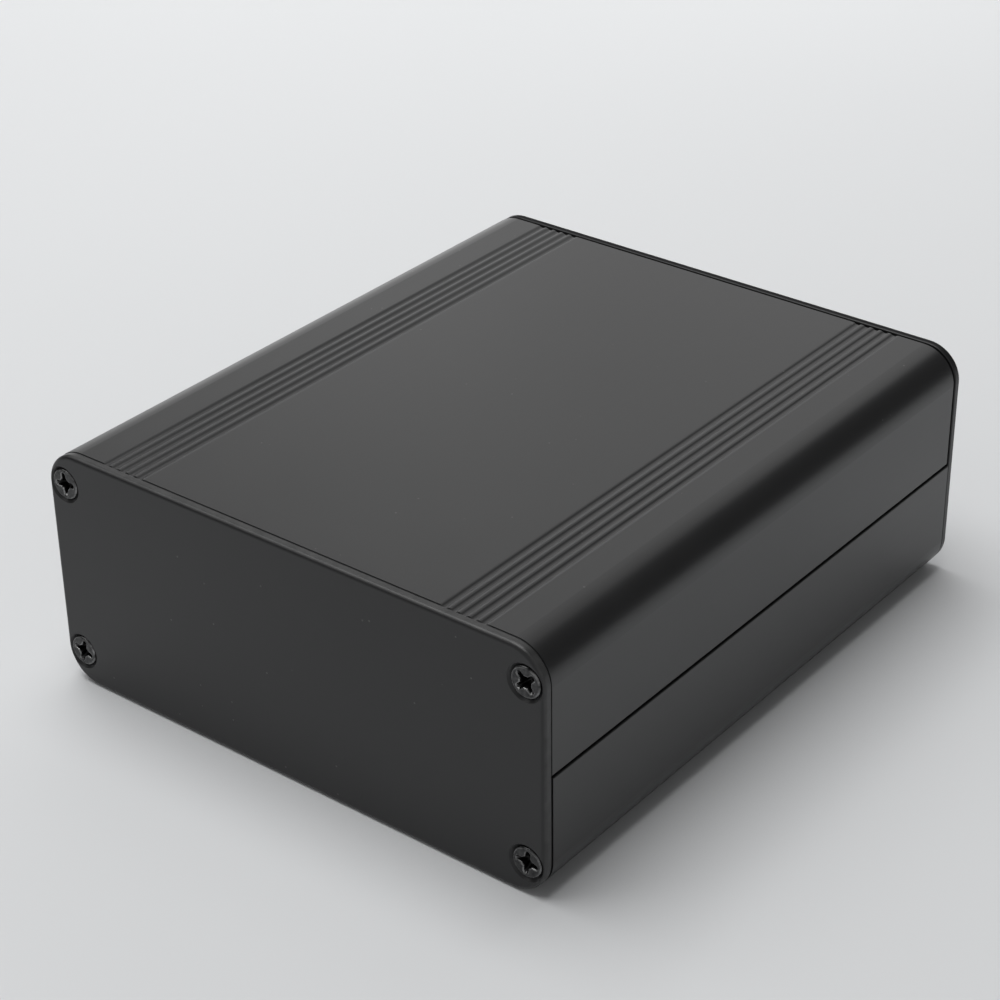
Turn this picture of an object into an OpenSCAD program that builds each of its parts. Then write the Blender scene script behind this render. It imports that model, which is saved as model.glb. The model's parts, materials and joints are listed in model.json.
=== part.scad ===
// Split aluminium enclosure: two like extruded shells, two end panels and eight screws.
// The box lies along Y with the front panel towards -Y, +Z up, and its origin is under its middle.

/* [Box] */
// Outside width of the box
box_width = 88; // [80:1:120]
// Outside height of the closed box
box_height = 38.4; // [36:0.2:60]
// Length of the two extruded shells, without the panels
body_length = 100.6; // [60:0.2:200]
// Radius of the four long outer edges
corner_radius = 5.5; // [5:0.1:6.5]
// Thickness of the shell walls
wall = 2; // [1.8:0.1:2.4]

/* [Groove bands] */
// Rounded grooves side by side in each band
groove_count = 5; // [3:1:6]
// Distance from one groove to the next
groove_pitch = 1.6; // [1.2:0.1:1.8]
// Depth of the grooves below the rounded crests between them
groove_depth = 0.24; // [0.15:0.01:0.3]
// From the side of the box to the middle of the nearer band
groove_band_inset = 13.8; // [12:0.1:20]

/* [Seam] */
// Height of the open line between the shells, seen from the side
seam_gap = 0.4; // [0.3:0.05:1]
// How far the tongue of one shell passes mid height into the other
tongue_reach = 2.4; // [1.6:0.1:3]
// Thickness of the outer lip that hides the tongue
seam_lip = 0.9; // [0.7:0.05:1]
// Room on each face of the tongue in its groove
seam_clearance = 0.1; // [0.05:0.05:0.2]
// Thickness of the inner wall and of the floor of the seam groove
keeper_thickness = 1.2; // [0.8:0.1:1.6]
// Rounding of the outer edges along the seam
seam_round = 0.25; // [0.1:0.05:0.5]

/* [Board rails] */
// Thickness of the circuit board that the rails take
board_thickness = 1.6; // [1:0.1:2]
// Room for the board in its slot
board_clearance = 0.2; // [0.1:0.05:0.4]
// How far the rails stand out from the side walls
rail_depth = 2; // [1.5:0.1:3]
// Thickness of one rail
rail_thickness = 1.2; // [0.8:0.1:1.5]
// Open space between the screw boss and the lower rail
rail_above_boss = 1; // [0.6:0.1:1.5]

/* [Panels] */
// Thickness of the two end panels
panel_thickness = 1.5; // [1.4:0.1:2.5]
// Rounding of the outward edge of the panels
panel_edge_round = 0.65; // [0.3:0.05:0.75]
// Rounding of the edge of the panels that lies on the shells
panel_back_round = 0.2; // [0.1:0.05:0.55]
// How far the panels stay inside the top and the bottom of the shells
panel_short = 0.05; // [0.05:0.05:0.3]
// Size of the broken edge at the front end of the upper shell
upper_front_break = 0.1; // [0.05:0.05:0.65]
// Size of the broken edge at the rear end of the upper shell, which leaves a dark line beside the panel
upper_rear_break = 0.65; // [0.05:0.05:0.65]
// Size of the broken edge at the front end of the lower shell, which leaves a dark line beside the panel
lower_front_break = 0.3; // [0.05:0.05:0.65]
// Size of the broken edge at the rear end of the lower shell
lower_rear_break = 0.1; // [0.05:0.05:0.65]

/* [Screws] */
// From the side of the box to the screw axis
screw_from_side = 3.05; // [3:0.05:4]
// From the top or the bottom of the box to the screw axis
screw_from_edge = 5.15; // [4.8:0.05:6]
// Diameter of the screw shank at its thread root
shank_diameter = 2.5; // [2.3:0.1:2.7]
// Length of the screw, with its head
screw_length = 8; // [6:1:16]
// Diameter of the screw head
head_diameter = 4.8; // [4.6:0.1:5.2]
// Width of the open ring between the head and the edge of its countersink
head_ring = 0.45; // [0.2:0.05:0.5]
// How far the head lies under the face of the panel
head_sink = 0.06; // [0:0.01:0.1]
// Length of the cross recess from tip to tip
cross_span = 3.6; // [3:0.1:3.8]
// Width of the arms of the cross recess at their roots
cross_width = 0.85; // [0.6:0.05:0.95]
// Depth of the cross recess
cross_depth = 1.3; // [0.8:0.1:1.5]
// Room round the shank in the boss
pilot_clearance = 0.05; // [0.02:0.01:0.1]
// Room round the shank in the panel
hole_clearance = 0.35; // [0.25:0.05:0.5]
// Wall of the screw boss round its hole
boss_wall = 1.4; // [1:0.1:1.6]
// Width of the slot along the screw boss
boss_slot = 1.2; // [0.8:0.1:1.6]

/* [Hidden] */
$fn = 72;
// Small overlap that joins shapes of one solid
joint = 0.2;
// Half sizes of the box and the height of the lower shell's outer lip
half_width = box_width / 2;
half_height = box_height / 2;
lip_height = half_height - seam_gap / 2;
// The tongue is the inner part of the wall, and it stands on the floor of the facing groove
tongue_outside = half_width - seam_lip - seam_clearance;
groove_floor = half_height - tongue_reach;
// One radius serves the grooves and the crests, which meet at half the depth with one slope
groove_radius = (groove_pitch * groove_pitch / 16 + groove_depth * groove_depth / 4) / groove_depth;
groove_band = half_width - groove_band_inset;
// Round sizes of the screw joint
pilot_radius = shank_diameter / 2 + pilot_clearance;
boss_radius = pilot_radius + boss_wall;
hole_radius = shank_diameter / 2 + hole_clearance;
sink_radius = head_diameter / 2 + head_ring;
neck_radius = hole_radius - pilot_clearance;
// The rim of the head rounds down to the countersink
rim_round = 0.95 * (head_ring - head_sink);
// The board slot lies between two rails above the screw boss
rail_low = screw_from_edge + boss_radius + rail_above_boss;
board_slot = board_thickness + board_clearance;
rail_high = rail_low + rail_thickness + board_slot;
screw_x = half_width - screw_from_side;
screw_z = half_height - screw_from_edge;
// Turn of the cross in each screw, in the order of screw_places
screw_places = [[-1, 1], [1, 1], [-1, -1], [1, -1]];
front_turns = [7, 42, -15, -7];
rear_turns = [24, -33, 12, 50];
anodised_black = [0.2, 0.2, 0.21];
screw_black = [0.1, 0.1, 0.11];

// Outline of the closed box, seen along Y and set inwards by inset
module box_outline(inset) {
  r = corner_radius - inset;
  x = half_width - corner_radius;
  z = [corner_radius, box_height - corner_radius];
  translate([-x, inset]) square([2 * x, box_height - 2 * inset]);
  translate([inset - half_width, z[0]]) square([box_width - 2 * inset, z[1] - z[0]]);
  for (side = [-1, 1], level = z) translate([side * x, level]) circle(r);
}

// Wave of round grooves and crests across one groove band, to be cut from the bottom face
module groove_wave() {
  band = groove_count * groove_pitch;
  difference() {
    translate([-band / 2, -joint]) square([band, joint + groove_depth / 2]);
    for (i = [0 : groove_count])
      translate([i * groove_pitch - band / 2, groove_radius]) circle(groove_radius);
  }
  for (i = [0 : groove_count - 1])
    translate([(i + 0.5) * groove_pitch - band / 2, 0]) intersection() {
      translate([0, groove_depth - groove_radius]) circle(groove_radius);
      translate([-groove_pitch / 4, groove_depth / 2]) square([groove_pitch / 2, groove_depth]);
    }
}

// Inner face of the right wall: the round screw boss and the two rails of the board slot
module boss_and_rails() {
  translate([screw_x, screw_from_edge]) circle(boss_radius);
  for (z = [rail_low, rail_high])
    translate([half_width - wall - rail_depth, z]) square([rail_depth + joint, rail_thickness]);
}

// Hole along the right screw boss, with the slot that opens it to the inside
module boss_hole() {
  translate([screw_x, screw_from_edge]) {
    circle(pilot_radius);
    rotate(135) translate([0, -boss_slot / 2]) square([boss_radius + joint, boss_slot]);
  }
}

// Tongue that stands up from the inner part of the left wall
module tongue() {
  translate([-tongue_outside, lip_height - joint])
    square([tongue_outside - half_width + wall, half_height + tongue_reach - lip_height + joint]);
}

// Thick inner wall and floor that hold the seam groove on the right wall
module keeper() {
  width = seam_clearance + keeper_thickness + joint;
  bottom = groove_floor - keeper_thickness;
  translate([half_width - wall + joint - width, bottom]) square([width, lip_height - bottom]);
}

// Seam groove that takes the tongue of the other shell
module seam_groove() {
  inside = half_width - wall - seam_clearance;
  translate([inside, groove_floor]) square([half_width - seam_lip - inside, box_height]);
}

// Corner that is taken off to round the outer edge along the seam, on the right wall
module seam_corner() {
  translate([half_width - seam_round, lip_height - seam_round]) difference() {
    square(seam_round + joint);
    circle(seam_round);
  }
}

// Section of one shell as it leaves the die, drawn as the lower one
module shell_section() {
  difference() {
    intersection() {
      box_outline(0);
      union() {
        difference() {
          translate([-half_width, 0]) square([box_width, lip_height]);
          box_outline(wall);
        }
        tongue();
        keeper();
        boss_and_rails();
        mirror([1, 0]) boss_and_rails();
      }
    }
    seam_groove();
    boss_hole();
    mirror([1, 0]) boss_hole();
    seam_corner();
    mirror([1, 0]) seam_corner();
    for (side = [-1, 1]) translate([side * groove_band, 0]) groove_wave();
  }
}

// Frame that breaks the outer edge at one end of a shell
module end_frame(end_break) {
  difference() {
    translate([-box_width, -box_height]) square([2 * box_width, 3 * box_height]);
    box_outline(end_break);
  }
}

// One length of the extrusion, sawn off and with its outer edge broken at the front and at the rear
module shell(front_break, rear_break) {
  rotate([90, 0, 0]) difference() {
    linear_extrude(body_length, center = true) shell_section();
    translate([0, 0, body_length / 2])
      linear_extrude(2 * front_break, center = true) end_frame(front_break);
    translate([0, 0, -body_length / 2])
      linear_extrude(2 * rear_break, center = true) end_frame(rear_break);
  }
}

// Section through the rim of a panel, from radius 0 outwards, with both of its edges rounded
module rim_section() {
  e = panel_edge_round;
  f = panel_back_round;
  translate([0, f]) square([corner_radius, panel_thickness - e - f]);
  translate([0, f]) square([corner_radius - e, panel_thickness - f]);
  square([corner_radius - f, panel_thickness - e]);
  translate([corner_radius - e, panel_thickness - e]) circle(e);
  translate([corner_radius - f, f]) circle(f);
}

// Straight stretch of the rim along X
module rim_run(run) {
  rotate([90, 0, 90]) linear_extrude(run, center = true) rim_section();
}

// Plate with a rounded outward edge, lying on its back face
module plate() {
  x = half_width - corner_radius;
  y = half_height - panel_short - corner_radius;
  translate([-x, -y, 0]) cube([2 * x, 2 * y, panel_thickness]);
  for (side = [0, 180]) rotate(side) {
    translate([0, y, 0]) rim_run(2 * x);
    translate([x, 0, 0]) rotate(-90) rim_run(2 * y);
    translate([x, y, 0]) rotate_extrude(angle = 90) rim_section();
    translate([-x, y, 0]) rotate(90) rotate_extrude(angle = 90) rim_section();
  }
}

// End panel with a countersunk hole at each corner, lying on its back face
module panel() {
  depth = sink_radius - hole_radius;
  difference() {
    plate();
    for (p = screw_places) translate([p[0] * screw_x, p[1] * screw_z, panel_thickness]) {
      translate([0, 0, -2 * panel_thickness]) cylinder(r = hole_radius, h = 3 * panel_thickness);
      translate([0, 0, -depth]) cylinder(r1 = hole_radius, r2 = sink_radius + depth, h = 2 * depth);
    }
  }
}

// Outline of the cross recess, whose four arms narrow outwards
module cross_outline() {
  root = cross_width / 2;
  tip = cross_span / 2;
  end = 0.3 * cross_width;
  polygon([
    [root, root], [end, tip], [-end, tip], [-root, root], [-tip, end], [-tip, -end],
    [-root, -root], [-end, -tip], [end, -tip], [root, -root], [tip, -end], [tip, end]
  ]);
}

// Cross recess with sloping ends and a pointed middle, cut down from height 0
module cross_recess() {
  intersection() {
    translate([0, 0, -cross_depth])
      cylinder(d1 = cross_span / 2, d2 = cross_span * 1.5, h = 2 * cross_depth);
    linear_extrude(1.6 * cross_depth, center = true) cross_outline();
  }
  translate([0, 0, -cross_depth])
    cylinder(d1 = cross_width, d2 = 3.2 * cross_width, h = 2 * cross_depth);
}

// Half section of the screw, from its axis outwards, with the rim of the head rounded
module screw_section() {
  head = head_diameter / 2;
  shank = shank_diameter / 2;
  neck = neck_radius - sink_radius;
  tip = shank_diameter / 5;
  polygon([
    [0, -head_sink - rim_round], [head, -head_sink - rim_round], [head, -head_ring], [neck_radius, neck],
    [shank, neck], [shank, tip - screw_length], [shank - tip, -screw_length], [0, -screw_length]
  ]);
  translate([0, -head_sink - rim_round]) square([head - rim_round, rim_round]);
  translate([head - rim_round, -head_sink - rim_round]) intersection() {
    circle(rim_round);
    square(rim_round);
  }
}

// Countersunk screw that points down, with height 0 at the face of the panel
module screw() {
  difference() {
    rotate_extrude() screw_section();
    translate([0, 0, -head_sink]) cross_recess();
  }
}

// Four screws in the holes of one panel
module screw_set(turns) {
  for (i = [0 : len(screw_places) - 1])
    translate([screw_places[i][0] * screw_x, screw_places[i][1] * screw_z, panel_thickness])
      rotate(turns[i]) screw();
}

// Sets a panel or its screws on the front end of the shells, or on the rear end
module on_front() {
  translate([0, -body_length / 2, half_height]) rotate([90, 0, 0]) children();
}
module on_rear() {
  translate([0, body_length / 2, half_height]) rotate([90, 0, 180]) children();
}

module upper_shell() {
  color(anodised_black) translate([0, 0, box_height]) rotate([0, 180, 0])
    shell(upper_front_break, upper_rear_break);
}
module lower_shell() {
  color(anodised_black) shell(lower_front_break, lower_rear_break);
}
module front_panel() {
  color(anodised_black) on_front() panel();
}
module rear_panel() {
  color(anodised_black) on_rear() panel();
}
module panel_screws() {
  color(screw_black) {
    on_front() screw_set(front_turns);
    on_rear() screw_set(rear_turns);
  }
}

upper_shell();
lower_shell();
front_panel();
rear_panel();
panel_screws();
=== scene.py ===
# %% [markdown]
# # A split aluminium enclosure in satin black
# The object is a small project box: two like lengths of one extrusion, laid edge to edge, closed by two
# flat end panels and eight countersunk screws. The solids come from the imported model, so this lesson does
# not model the box again. It gives the pieces their finish, makes the screws in full detail, and lights
# and frames the box as the photograph does. Every length is in metres, unless a comment says otherwise.

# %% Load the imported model
import json
import math

import bpy
from mathutils import Matrix, Vector

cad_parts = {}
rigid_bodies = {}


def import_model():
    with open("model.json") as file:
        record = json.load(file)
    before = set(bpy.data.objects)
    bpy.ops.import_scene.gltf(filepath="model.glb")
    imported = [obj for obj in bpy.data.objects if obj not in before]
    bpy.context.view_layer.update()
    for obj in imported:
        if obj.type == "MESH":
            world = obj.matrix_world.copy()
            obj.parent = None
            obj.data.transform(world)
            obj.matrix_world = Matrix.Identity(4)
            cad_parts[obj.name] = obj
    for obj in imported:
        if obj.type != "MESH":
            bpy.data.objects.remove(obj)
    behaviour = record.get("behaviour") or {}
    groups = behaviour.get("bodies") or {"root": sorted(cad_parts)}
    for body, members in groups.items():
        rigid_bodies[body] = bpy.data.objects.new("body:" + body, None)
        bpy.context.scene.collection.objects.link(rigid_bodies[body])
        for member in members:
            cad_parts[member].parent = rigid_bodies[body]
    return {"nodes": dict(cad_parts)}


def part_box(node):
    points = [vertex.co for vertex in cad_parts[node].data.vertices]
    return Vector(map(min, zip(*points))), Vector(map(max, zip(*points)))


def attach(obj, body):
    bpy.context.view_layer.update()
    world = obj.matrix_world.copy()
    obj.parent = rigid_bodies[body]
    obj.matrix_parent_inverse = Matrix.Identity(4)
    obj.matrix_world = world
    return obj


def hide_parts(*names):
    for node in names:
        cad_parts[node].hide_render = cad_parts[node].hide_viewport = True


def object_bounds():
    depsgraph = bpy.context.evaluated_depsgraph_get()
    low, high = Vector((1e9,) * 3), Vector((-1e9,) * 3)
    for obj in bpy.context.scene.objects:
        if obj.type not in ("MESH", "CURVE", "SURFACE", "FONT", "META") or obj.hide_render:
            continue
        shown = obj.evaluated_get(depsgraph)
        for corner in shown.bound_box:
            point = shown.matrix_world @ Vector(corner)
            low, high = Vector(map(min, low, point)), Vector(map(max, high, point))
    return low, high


for leftover in list(bpy.data.objects):
    bpy.data.objects.remove(leftover)
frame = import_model()
cad_low, cad_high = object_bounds()
MM = 0.001
print("nodes:", sorted(frame["nodes"]), "size in mm:", [round(v / MM, 2) for v in cad_high - cad_low])

# %% [markdown]
# ## A short way to write node maths
# A finish is a small sum of patterns, and so is the rule of a thread. Wiring such a sum by hand hides it, so
# a wrapper round a socket takes Python's own operators and adds the Math nodes. One method, `node`, makes
# every other kind of node. Materials, Geometry Nodes and the world share both.

# %% The node writer
class Reading:
    """One output socket of a node tree, which can be used in sums."""

    def __init__(self, writer, socket):
        self.writer, self.socket = writer, socket

    def math(self, operation, first, second):
        return self.writer.node("ShaderNodeMath", {"operation": operation}, {0: first, 1: second})

    def __add__(self, other): return self.math("ADD", self, other)
    def __radd__(self, other): return self.math("ADD", other, self)
    def __sub__(self, other): return self.math("SUBTRACT", self, other)
    def __rsub__(self, other): return self.math("SUBTRACT", other, self)
    def __mul__(self, other): return self.math("MULTIPLY", self, other)
    def __rmul__(self, other): return self.math("MULTIPLY", other, self)
    def __truediv__(self, other): return self.math("DIVIDE", self, other)
    def __rtruediv__(self, other): return self.math("DIVIDE", other, self)
    def __gt__(self, other): return self.math("GREATER_THAN", self, other)
    def __lt__(self, other): return self.math("LESS_THAN", self, other)


class Writer:
    """A node tree that is written as expressions."""

    def __init__(self, tree):
        self.tree = tree

    def node(self, kind, settings=None, inputs=None, out=0):
        """New node with these settings and inputs, read at one of its outputs where it has any."""
        made = self.tree.nodes.new(kind)
        for name, value in (settings or {}).items():
            setattr(made, name, value)
        for name, value in (inputs or {}).items():
            self.feed(made.inputs[name], value)
        return Reading(self, made.outputs[out]) if made.outputs else None

    def feed(self, socket, value):
        """Links a reading to a socket, or sets the socket to a plain value."""
        if isinstance(value, Reading):
            self.tree.links.new(value.socket, socket)
        else:
            socket.default_value = value

    def fade(self, value, none, full):
        """Smooth step from 0 where the value is none to 1 where it is full."""
        return self.node("ShaderNodeMapRange", {"interpolation_type": "SMOOTHSTEP"},
                         {"Value": value, "From Min": none, "From Max": full})


print("node writer ready")

# %% [markdown]
# ## What every finish has
# Each surface is one shader whose colour, roughness and normal follow patterns. The patterns could be
# painted pictures, but those need an unwrapped mesh and blur when the camera comes close. Here each pattern
# is worked out from the place on the piece, so that it has its real size and stays with the piece.

# %% The finish writer
MIX_FIRST, MIX_SECOND, MIX_COLOUR = 6, 7, 2     # the colour sockets of a Mix node, by number


class Finish(Writer):
    """A material with one surface shader."""

    def __init__(self, name):
        self.material = bpy.data.materials.new(name)
        self.material.use_nodes = True
        super().__init__(self.material.node_tree)
        self.shader = self.tree.nodes["Principled BSDF"]
        self.place = self.node("ShaderNodeTexCoord", out="Object")

    def shade(self, **inputs):
        """Sets or links inputs of the shader, whose names are written with _ for a space."""
        for name, value in inputs.items():
            self.feed(self.shader.inputs[name.replace("_", " ")], value)

    def noise(self, size, detail=2.0, stretch=(1, 1, 1)):
        """Noise from 0 to 1 with features of about this size, drawn out along an axis by stretch."""
        scale = [1 / s for s in stretch]
        scaled = self.node("ShaderNodeMapping", {}, {"Vector": self.place, "Scale": scale})
        return self.node("ShaderNodeTexNoise", {}, {"Vector": scaled, "Scale": 1 / size, "Detail": detail})

    def blend(self, factor, first, second):
        """Colour that goes from the first to the second as a factor goes from 0 to 1."""
        return self.node("ShaderNodeMix", {"data_type": "RGBA"},
                         {"Factor": factor, MIX_FIRST: first, MIX_SECOND: second}, out=MIX_COLOUR)

    def bump(self, height, depth, under=None):
        """Normal of a surface that rises by depth where height goes from 0 to 1."""
        inputs = {"Height": height, "Distance": depth, "Strength": 1.0}
        if under is not None:
            inputs["Normal"] = under
        return self.node("ShaderNodeBump", {}, inputs)


print("finish writer ready")

# %% [markdown]
# ## Satin black anodising
# The blank is blasted with fine beads before it is dyed and sealed, so the surface is a dark, clear oxide
# over a very fine dimpled metal. It could be a flat black with a roughness, but then it looks like plastic.
# Here a grain of about a sixth of a millimetre dimples the normal, faint die lines run along the extruded
# shells, and broad soft clouds shift the dye and the gloss a little. A few specks of dust lie on it, as they
# do in the photograph, and a painted highlight makes the dye paler on the rim of the front panel.

# %% Dust
SPECK_CELL, SPECK_SHARE, SPECK_RADIUS = 1.2 * MM, 0.06, 0.14 * MM


def dust(finish):
    """Mask of round specks, in a share of the cells one speck of about the radius.

    The cells fill space, so a face shows only the few specks that it cuts through.
    """
    cell = {"Vector": finish.place, "Scale": 1 / SPECK_CELL}
    near = finish.node("ShaderNodeTexVoronoi", {}, cell, out="Distance")
    pick = finish.node("ShaderNodeTexVoronoi", {}, cell, out="Color")
    lot = finish.node("ShaderNodeSeparateColor", {}, {"Color": pick}, out="Red")
    size = finish.node("ShaderNodeSeparateColor", {}, {"Color": pick}, out="Green")
    return (near < (size * 0.8 + 0.4) * (SPECK_RADIUS / SPECK_CELL)) * (lot < SPECK_SHARE)


print("dust: specks of about", round(SPECK_RADIUS / MM, 2), "mm in", SPECK_SHARE, "of the cells")

# %% Painted highlight on the rim
CORNER_RADIUS, HIGHLIGHT_PATCH = 5.5 * MM, 1.5 * MM
HIGHLIGHT_INNER, HIGHLIGHT_OUTER = 0.35 * MM, 0.05 * MM     # where the painted highlight begins and is full, in from the outline


def rim_highlight_mask(finish):
    """Mask of a painted highlight on the outermost third of a millimetre of the box, seen along its length,
    broken up by noise.
    """
    middle, half = (cad_low + cad_high) / 2, (cad_high - cad_low) / 2
    over = []
    for axis in (0, 2):
        place = finish.node("ShaderNodeSeparateXYZ", {}, {0: finish.place}, out=axis) - middle[axis]
        past = place.math("ABSOLUTE", place, 0) - (half[axis] - CORNER_RADIUS)
        over.append(past.math("MAXIMUM", past, 0))
    reach = over[0].math("SQRT", over[0] * over[0] + over[1] * over[1], 0)
    edge = finish.fade(reach, CORNER_RADIUS - HIGHLIGHT_INNER, CORNER_RADIUS - HIGHLIGHT_OUTER)
    return edge * finish.noise(HIGHLIGHT_PATCH) * 2


# The print gives the width of the painted highlight on the rim.
print("worn rim: the last", round(HIGHLIGHT_INNER / MM, 2), "mm")

# %% Anodised finish
GRAIN, CLOUD, DIE_LINE = 0.16 * MM, 14 * MM, 0.5 * MM
GRAIN_DEPTH, DIE_LINE_DEPTH = 0.0035 * MM, 0.0012 * MM
DYE_LOW, DYE_HIGH = (0.0102, 0.0102, 0.010625, 1), (0.0138, 0.0138, 0.014375, 1)
# The first colour on the next line is a painted highlight, a paler dye on the rim of the front panel.
PAINTED_RIM_HIGHLIGHT, SPECK_COLOUR, SPECK_COVER = (0.05, 0.05, 0.05, 1), (0.12, 0.12, 0.115, 1), 0.55


def anodised(name, roughness, index, drawn=1, rim_highlight=0):
    """Dyed oxide on a blasted surface.

    index is the oxide's index of refraction, which says how strongly it mirrors. drawn is how far the die
    lines of an extrusion stretch along Y, and the last argument is how strongly a painted highlight lightens
    the rim.
    """
    finish = Finish(name)
    clouds = finish.noise(CLOUD)
    lines = finish.noise(DIE_LINE, stretch=(1, drawn, 1))
    colour = finish.blend(clouds, DYE_LOW, DYE_HIGH)
    # Painted highlight: the rim of the front panel is made paler in colour.
    if rim_highlight:
        colour = finish.blend(rim_highlight_mask(finish) * rim_highlight, colour, PAINTED_RIM_HIGHLIGHT)
    colour = finish.blend(dust(finish) * SPECK_COVER, colour, SPECK_COLOUR)
    blasted = finish.bump(finish.noise(GRAIN, detail=3), GRAIN_DEPTH)
    finish.shade(Base_Color=colour, Roughness=roughness + (clouds - 0.5) * 0.06 + (lines - 0.5) * 0.03,
                 Normal=finish.bump(lines, DIE_LINE_DEPTH, under=blasted), IOR=index)
    return finish.material


shell_finish = anodised("anodised_shell_finish", roughness=0.33, index=1.60, drawn=60)
front_finish = anodised("anodised_front_finish", roughness=0.35, index=1.44, rim_highlight=0.6)
rear_finish = anodised("anodised_rear_finish", roughness=0.35, index=1.44)
for name, finish in (("upper_shell", shell_finish), ("lower_shell", shell_finish),
                     ("front_panel", front_finish), ("rear_panel", rear_finish)):
    frame["nodes"][name].material_slots[0].material = finish
    print(name, "has", finish.name)

# %% [markdown]
# ## Blackened screws
# The screws are steel with a thin black oxide, which is glossier than the box and a little mottled. Handling
# rubs it thin where the metal stands proud. One even grey would make the crosses look printed, so the finish
# reads an attribute of the mesh for wear and painted shade, which the next step writes on the rounded rim and
# on the lips of the cross. A noise breaks it up, so that each screw catches its own small glints. Below zero,
# the attribute is painted shade, which takes the colour to nearly black deep in the cross.

# %% Screw finish
OXIDE, THIN_OXIDE = (0.030, 0.030, 0.031, 1), (0.070, 0.070, 0.070, 1)
# The first colour on the next line is painted shade, near black, deep in the cross.
PAINTED_CROSS_SHADE, BARE_STEEL = (0.008, 0.008, 0.008, 1), (0.26, 0.26, 0.26, 1)
MOTTLE, GLINT, GLOSS_PATCH, DENT, DENT_DEPTH = 0.55 * MM, 1.1 * MM, 0.4 * MM, 0.5 * MM, 0.03 * MM
steel = Finish("black_oxide_finish")
mottle = steel.noise(MOTTLE, detail=3) * 3.0 - 1.0
wear_and_shade = steel.node("ShaderNodeAttribute", {"attribute_name": "wear_and_shade"}, out="Fac")
bared = wear_and_shade * (steel.noise(GLINT) * 4.0 - 1.2) * (wear_and_shade > 0)
# Painted shade: below zero, the attribute takes the colour towards near black deep in the cross.
shaded_in_cross = steel.blend(wear_and_shade * -1, steel.blend(mottle, OXIDE, THIN_OXIDE), PAINTED_CROSS_SHADE)
steel.shade(Base_Color=steel.blend(bared, shaded_in_cross, BARE_STEEL), Metallic=0.9,
            Roughness=0.16 + steel.noise(GLOSS_PATCH) * 0.16,
            Normal=steel.bump(steel.noise(DENT), DENT_DEPTH))
print("screws:", steel.material.name)

# %% [markdown]
# ## One countersunk screw
# A screw like this is cold headed: a punch drives the cross into the head, and the rim of the head comes out
# rounded. It could be cut with Booleans, but those leave sharp lips. Here the surface is a stack of rings
# from the bottom of the cross to the tip. A ring inside the cross follows the cross, the next ones round its
# lip, and the rest are circles, so the whole screw is one closed skin. Each ring also carries its wear, and
# deep in the cross its painted shade.

# %% Rings of the screw
# Lengths in millimetres. The neck lies as deep under the face of the panel as its radius is smaller than
# that of the countersink's mouth, because the countersink is a cone of 90 degrees.
HEAD_SINK, RIM_START, RIM_ROUND, RIM_WEAR = 0.06, 2.02, 0.37, 0.65
SINK_RADIUS, NECK_RADIUS, NECK_STEP = 2.848, 1.55, 0.02
SHANK_RADIUS, SHANK_ROWS, TIP_CHAMFER, SCREW_LENGTH = 1.25, 74, 0.5, 8.0
ARM_HALF, ARM_TAPER, ARM_TIP, ARM_ROUND, CROSS_CORE = 0.53, 0.10, 1.85, 0.9, 0.92
# Rings of the cross from its floor to its lip. The first three numbers are added to ARM_HALF, ARM_TIP and
# CROSS_CORE, and then come the depth under the top of the head and the wear, which below zero is painted
# shade.
CROSS_RINGS = (
    (-0.17, -0.95, -0.50, 1.20, -1.0), (-0.12, -0.60, -0.25, 0.90, -1.0), (-0.08, -0.32, -0.12, 0.55, -0.7),
    (-0.06, -0.14, -0.06, 0.30, 0.1), (-0.04, -0.08, -0.04, 0.20, 0.5), (-0.01, -0.03, -0.01, 0.115, 1.0),
    (0.04, 0.02, 0.04, 0.050, 1.0), (0.10, 0.07, 0.10, 0.012, 0.6), (0.16, 0.12, 0.16, 0.0, 0.0))


def cross_ring(wider, longer, fuller):
    """Rule of a ring round the cross, whose arms narrow outwards: the distance from the axis at an angle."""
    def distance(angle):
        off = (angle + math.pi / 4) % (math.pi / 2) - math.pi / 4
        flank = (ARM_HALF + wider) / (abs(math.sin(off)) + ARM_TAPER * math.cos(off))
        end = (ARM_TIP + longer) / math.cos(off) - ARM_ROUND * abs(math.sin(off))
        return max(CROSS_CORE + fuller, min(flank, end))
    return distance


def round_ring(radius):
    """Rule of a round ring."""
    return lambda angle: radius


def screw_rings():
    """Rings as (rule, height, wear and painted shade), with height 0 at the face of the panel."""
    top = -HEAD_SINK
    rings = [(cross_ring(*sizes), top - depth, wear_and_shade) for *sizes, depth, wear_and_shade in CROSS_RINGS]
    rings.append((round_ring(RIM_START - 0.02), top, 0))
    for lean in (math.radians(15 * step) for step in range(7)):
        rings.append((round_ring(RIM_START + RIM_ROUND * math.sin(lean)),
                      top - RIM_ROUND * (1 - math.cos(lean)), RIM_WEAR * math.sin(2 * lean)))
    neck = NECK_RADIUS - SINK_RADIUS
    shank = neck - NECK_STEP
    rings += [(round_ring(NECK_RADIUS), neck, 0), (round_ring(SHANK_RADIUS), shank, 0)]
    drop = (TIP_CHAMFER - SCREW_LENGTH - shank) / SHANK_ROWS
    rings += [(round_ring(SHANK_RADIUS), shank + drop * row, 0) for row in range(1, SHANK_ROWS + 1)]
    return rings + [(round_ring(SHANK_RADIUS - TIP_CHAMFER), -SCREW_LENGTH, 0)]


print("screw:", len(screw_rings()), "rings")

# %% Skin over the rings
# The last number is painted shade, for the middle points of the floor of the cross and of the tip.
AROUND, PUNCH_POINT, FULL_PAINTED_SHADE = 128, 0.12, -1.0


def put(name, data):
    """New object with this data, linked to the scene."""
    made = bpy.data.objects.new(name, data)
    bpy.context.scene.collection.objects.link(made)
    return made


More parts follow.
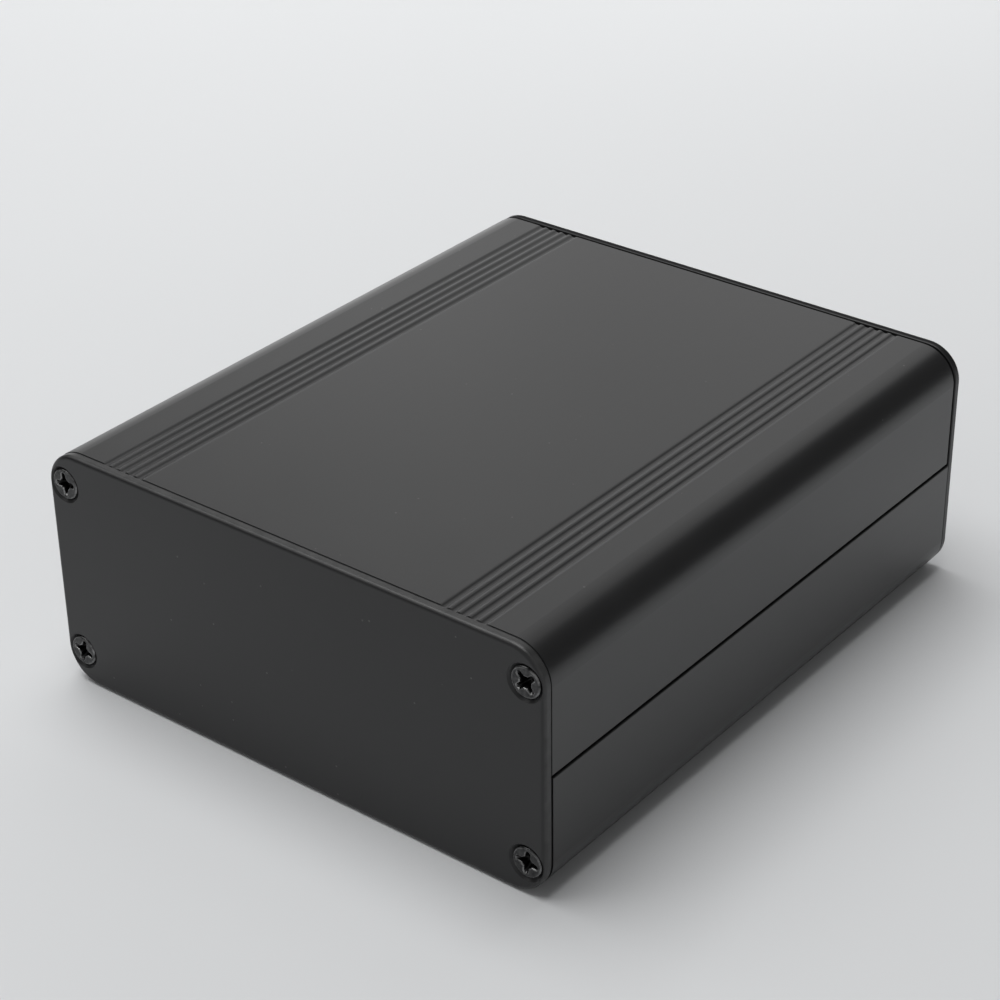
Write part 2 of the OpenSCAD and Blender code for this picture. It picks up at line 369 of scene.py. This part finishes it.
def skin(name, rings):
    """Closed mesh over a stack of rings, with a point in the middle of the first and of the last."""
    sides = [2 * math.pi * k / AROUND for k in range(AROUND)]
    points = [(r(a) * math.cos(a), r(a) * math.sin(a), z) for r, z, _ in rings for a in sides]
    first, last = len(points), len(points) + 1
    points += [(0, 0, rings[0][1] - PUNCH_POINT), (0, 0, rings[-1][1])]
    faces = []
    for k in range(AROUND):
        n = (k + 1) % AROUND
        faces.append((first, k, n))
        for i in range(len(rings) - 1):
            a, b = i * AROUND, (i + 1) * AROUND
            faces.append((a + k, b + k, b + n, a + n))
        faces.append((last, b + n, b + k))
    mesh = bpy.data.meshes.new(name)
    mesh.from_pydata([[c * MM for c in p] for p in points], [], faces)
    mesh.shade_smooth()
    # The attribute holds wear on the rim and the lips, and painted shade deep in the cross.
    wear_and_shade = mesh.attributes.new("wear_and_shade", "FLOAT", "POINT")
    for i, item in enumerate(wear_and_shade.data):
        item.value = rings[i // AROUND][2] if i < first else FULL_PAINTED_SHADE
    return put(name, mesh)


blank = skin("screw_blank", screw_rings())
print("screw blank:", len(blank.data.polygons), "faces")

# %% [markdown]
# ## Eight screws from one
# A thread is a rule: the skin dips and rises once a turn and once a pitch. It could be swept along a helix,
# but then the runs of the thread have to be joined to the shank. Geometry Nodes apply the rule to the shank
# itself, set the finished screw on eight places with its own turn at each, and make the result real, so that
# it exports as a plain mesh. The places come from the panels, so the screws sit in their countersinks.

# %% Tree of the screws
def screw_set_tree():
    """Tree that threads a screw blank and puts a copy on every point, turned by the point's attribute."""
    tree = bpy.data.node_groups.new("screw_set", "GeometryNodeTree")
    sockets = {"Places": "Geometry", "Blank": "Object", "Thread Pitch": "Float", "Thread Depth": "Float",
               "Thread Start": "Float", "Thread End": "Float", "Finish": "Material"}
    for name, kind in sockets.items():
        tree.interface.new_socket(name, in_out="INPUT", socket_type="NodeSocket" + kind)
    tree.interface.new_socket("Screws", in_out="OUTPUT", socket_type="NodeSocketGeometry")
    writer = Writer(tree)
    value = {name: writer.node("NodeGroupInput", out=name) for name in sockets}
    place = writer.node("GeometryNodeInputPosition")
    x, y, z = (writer.node("ShaderNodeSeparateXYZ", {}, {0: place}, out=axis) for axis in range(3))
    turns = x.math("ARCTAN2", y, x) / (2 * math.pi) - z / value["Thread Pitch"]
    dip = x.math("PINGPONG", turns, 0.5) * 2 * value["Thread Depth"]
    level = writer.node("ShaderNodeCombineXYZ", {}, {0: x, 1: y, 2: 0.0})
    outwards = writer.node("ShaderNodeVectorMath", {"operation": "NORMALIZE"}, {0: level})
    inwards = writer.node("ShaderNodeVectorMath", {"operation": "SCALE"}, {0: outwards, "Scale": dip * -1})
    threaded = (z < value["Thread Start"]) * (z > value["Thread End"])
    blank_mesh = writer.node("GeometryNodeObjectInfo", {}, {"Object": value["Blank"]}, out="Geometry")
    screw = writer.node("GeometryNodeSetPosition", {},
                        {"Geometry": blank_mesh, "Selection": threaded, "Offset": inwards})
    turn = writer.node("GeometryNodeInputNamedAttribute", {"data_type": "FLOAT_VECTOR"}, {"Name": "turn"})
    rotation = writer.node("FunctionNodeEulerToRotation", {}, {"Euler": turn})
    copies = writer.node("GeometryNodeInstanceOnPoints", {},
                         {"Points": value["Places"], "Instance": screw, "Rotation": rotation})
    real = writer.node("GeometryNodeRealizeInstances", {}, {"Geometry": copies})
    dressed = writer.node("GeometryNodeSetMaterial", {}, {"Geometry": real, "Material": value["Finish"]})
    writer.node("NodeGroupOutput", {}, {"Screws": dressed})
    return tree


screw_set = screw_set_tree()
print("tree:", screw_set.name, "with", len(screw_set.nodes), "nodes")

# %% Places of the screws
SCREW_FROM_SIDE, SCREW_FROM_EDGE = 3.05 * MM, 5.15 * MM
FRONT_TURNS, REAR_TURNS = (7, 42, -15, -7), (24, -33, 12, 50)   # in degrees, in the order of the corners
CORNERS = ((-1, 1), (1, 1), (-1, -1), (1, -1))


def screw_places():
    """Points of the eight screw axes on the faces of the panels, with the turn of each as an attribute."""
    points, turns = [], []
    for node, facing, given in (("front_panel", -1, FRONT_TURNS), ("rear_panel", 1, REAR_TURNS)):
        low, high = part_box(node)
        face = low[1] if facing < 0 else high[1]
        stand = Matrix.Rotation(math.pi / 2, 4, "X")
        if facing > 0:
            stand = Matrix.Rotation(math.pi, 4, "Z") @ stand
        for (side, level), angle in zip(CORNERS, given):
            across = -facing * side * (high[0] - SCREW_FROM_SIDE)
            up = cad_high[2] - SCREW_FROM_EDGE if level > 0 else cad_low[2] + SCREW_FROM_EDGE
            points.append((across, face, up))
            turns.append((stand @ Matrix.Rotation(math.radians(angle), 4, "Z")).to_euler())
    mesh = bpy.data.meshes.new("cross_recess_screws")
    mesh.from_pydata(points, [], [])
    attribute = mesh.attributes.new("turn", "FLOAT_VECTOR", "POINT")
    for item, angle in zip(attribute.data, turns):
        item.vector = angle
    return put("cross_recess_screws", mesh)


screws = screw_places()
print("places:", len(screws.data.vertices))

# %% Screws made real
THREAD_PITCH, THREAD_DEPTH, THREAD_START, THREAD_END = 0.5 * MM, 0.22 * MM, -1.6 * MM, -7.45 * MM


def grow(piece, tree, values):
    """Gives a piece the tree with these inputs, and turns the result into the piece's own mesh."""
    modifier = piece.modifiers.new("grow", "NODES")
    modifier.node_group = tree
    for item in tree.interface.items_tree:
        if item.in_out == "INPUT" and item.name in values:
            modifier[item.identifier] = values[item.name]
    evaluated = piece.evaluated_get(bpy.context.evaluated_depsgraph_get())
    mesh = bpy.data.meshes.new_from_object(evaluated)
    piece.modifiers.remove(modifier)
    piece.data = mesh


grow(screws, screw_set, {
    "Blank": blank, "Thread Pitch": THREAD_PITCH, "Thread Depth": THREAD_DEPTH,
    "Thread Start": THREAD_START, "Thread End": THREAD_END, "Finish": steel.material})
bpy.data.objects.remove(blank)
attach(screws, "root")
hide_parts("panel_screws")
print("screws:", len(screws.data.polygons), "faces")

# %% [markdown]
# ## Floor
# The box stands on plain pale paper. Its faces mirror the paper, so it is part of the look and not only a
# ground for the shadow. A curved backdrop would do as well, but the camera looks down and never sees one, so
# one large plane is enough. It lies a hair below the box, because two faces in one place flicker.

# %% Floor
FLOOR_HALF, FLOOR_DROP = 3.0, 0.1 * MM
PAPER_CLOUD, PAPER_LOW, PAPER_HIGH = 0.2, (0.70, 0.71, 0.72, 1), (0.73, 0.74, 0.75, 1)
floor = put("floor", bpy.data.meshes.new("floor"))
floor_corners = ((-1, -1), (1, -1), (1, 1), (-1, 1))
floor.data.from_pydata([(x * FLOOR_HALF, y * FLOOR_HALF, 0) for x, y in floor_corners], [], [(0, 1, 2, 3)])
floor.location.z = -FLOOR_DROP
paper = Finish("pale_floor")
paper.shade(Base_Color=paper.blend(paper.noise(PAPER_CLOUD), PAPER_LOW, PAPER_HIGH), Roughness=0.85)
floor.data.materials.append(paper.material)
print("floor:", 2 * FLOOR_HALF, "m wide")

# %% [markdown]
# ## Light
# The photograph's light can be read from the box, because each face mirrors one part of its surroundings.
# The top mirrors something bright behind it on the left, brightest low down. The rounded front edge mirrors
# light high on the left. The right side and the front mirror pale ground, which is in shade close to the
# right side, so the main light comes from above and a little left. The long rounded edge, which mirrors the
# air behind on the right, is nearly black. All this could be one picture wrapped round the scene, but soft
# boxes can be moved one at a time, until each face is right.

# %% Soft boxes
def soft_box(name, at, towards, width, height, radiance):
    """Rectangular lamp that looks equally bright, at this radiance, from every side it shines to."""
    lamp = bpy.data.lights.new(name, "AREA")
    lamp.shape, lamp.size, lamp.size_y = "RECTANGLE", width, height
    lamp.energy = radiance * math.pi * width * height
    made = put(name, lamp)
    made.location = at
    made.rotation_euler = (Vector(towards) - Vector(at)).to_track_quat("-Z", "Y").to_euler()
    return made


soft_box("overhead_lamp", (-0.20, -0.06, 1.20), (0, 0, 0), width=0.90, height=0.90, radiance=4.25)
soft_box("left_lamp", (-0.77, -0.45, 0.80), (0, 0, 0.02), width=1.10, height=0.38, radiance=1.0)
soft_box("high_left_lamp", (-0.64, 0.20, 1.00), (0, 0, 0.02), width=0.95, height=0.38, radiance=1.3)
soft_box("high_back_lamp", (-0.15, 0.52, 0.62), (0, 0, 0.04), width=0.55, height=0.40, radiance=0.36)

# %% [markdown]
# ## Panels of light behind the box
# What the top mirrors is low and wide, so upright panels of light stand on the floor behind the box. A lamp
# shines one way only and would leave a hard edge on the floor, so each panel is two lamps back to back. In
# the photograph the rim of the rear panel stays dark. In a studio a black card, a flag, would be held between
# the light and that rim. Light linking is the flag here: it leaves one piece out of what a lamp lights.

# %% Panels of light
flagged = bpy.data.collections.new("flagged_pieces")
flagged.objects.link(frame["nodes"]["rear_panel"])
flagged.collection_objects[0].light_linking.link_state = "EXCLUDE"


def light_panel(name, at, width, height, radiance):
    """Upright panel that shines to the front and to the back, but not on the flagged piece."""
    for side, way in (("front", -1), ("back", 1)):
        beside = Vector(at) + Vector((0, way * MM, 0))
        made = soft_box(f"{name}_{side}", beside, beside + Vector((0, way, 0)), width, height, radiance)
        made.light_linking.receiver_collection = flagged


light_panel("back_panel", (-0.29, 0.348, 0.1725), width=0.68, height=0.355, radiance=0.55)
light_panel("back_left_panel", (-0.49, 0.340, 0.1950), width=0.44, height=0.400, radiance=0.27)
light_panel("low_back_panel", (-0.46, 0.332, 0.0975), width=0.72, height=0.205, radiance=0.22)

# %% [markdown]
# ## Air
# Where no lamp stands, the box mirrors the air of the room. It is dim, so that the long rounded edge stays
# black. In front on the right it glows, because there the lower parts of the screw seats mirror it, and so
# does the top when it is seen from behind. One grey would be simpler, but it can't do both. The strength of
# the world may follow the heading of a ray, so two smooth steps make the glow.

# %% Glow in the air
DIM_AIR, GLOW = 0.07, 0.42
GLOW_HEADING = (0.574, -0.819, 0.0)
GLOW_SIDE, GLOW_RISE = (0.05, 0.75), (0.80, 0.45)       # where it begins and is full, as cosine and as sine
world = bpy.context.scene.world or bpy.data.worlds.new("air")
bpy.context.scene.world = world
world.use_nodes = True
air = Writer(world.node_tree)
heading = air.node("ShaderNodeTexCoord", out="Generated")
towards = air.node("ShaderNodeVectorMath", {"operation": "DOT_PRODUCT"},
                   {0: heading, 1: GLOW_HEADING}, out="Value")
rise = air.node("ShaderNodeSeparateXYZ", {}, {0: heading}, out="Z")
glow = air.fade(towards, *GLOW_SIDE) * air.fade(rise, *GLOW_RISE) * GLOW
background = world.node_tree.nodes["Background"]
air.feed(background.inputs["Color"], (1.0, 1.0, 1.0, 1.0))
air.feed(background.inputs["Strength"], DIM_AIR + glow)
bpy.context.scene.view_settings.view_transform = "Standard"
print("air:", DIM_AIR, "to", DIM_AIR + GLOW)

# %% [markdown]
# ## Camera
# The camera could be placed by eye, but then no edge falls where the photograph has it. A pinhole camera was
# fitted instead to the straight edges, the rounded corners and the screw centres that the photograph shows.
# Its place and its directions are named values here, in the frame of the box.

# %% Camera
CAMERA_PLACE = Vector((200.30, -256.57, 210.92)) * MM
CAMERA_RIGHT = Vector((0.7870, 0.6168, -0.0121))
CAMERA_DOWN = Vector((0.3027, -0.4032, -0.8636))
FOCAL_LENGTH_IN_FRAMES, SENSOR_WIDTH = 2.53822, 36      # the sensor's width is in millimetres
camera = put("camera", bpy.data.cameras.new("camera"))
right, up = CAMERA_RIGHT.normalized(), -CAMERA_DOWN.normalized()
aim = Matrix((right, up, right.cross(up))).transposed().to_4x4()
camera.matrix_world = Matrix.Translation(CAMERA_PLACE) @ aim
camera.data.sensor_width = SENSOR_WIDTH
camera.data.lens = SENSOR_WIDTH * FOCAL_LENGTH_IN_FRAMES
bpy.context.scene.camera = camera
print("camera lens in mm:", round(camera.data.lens, 2))
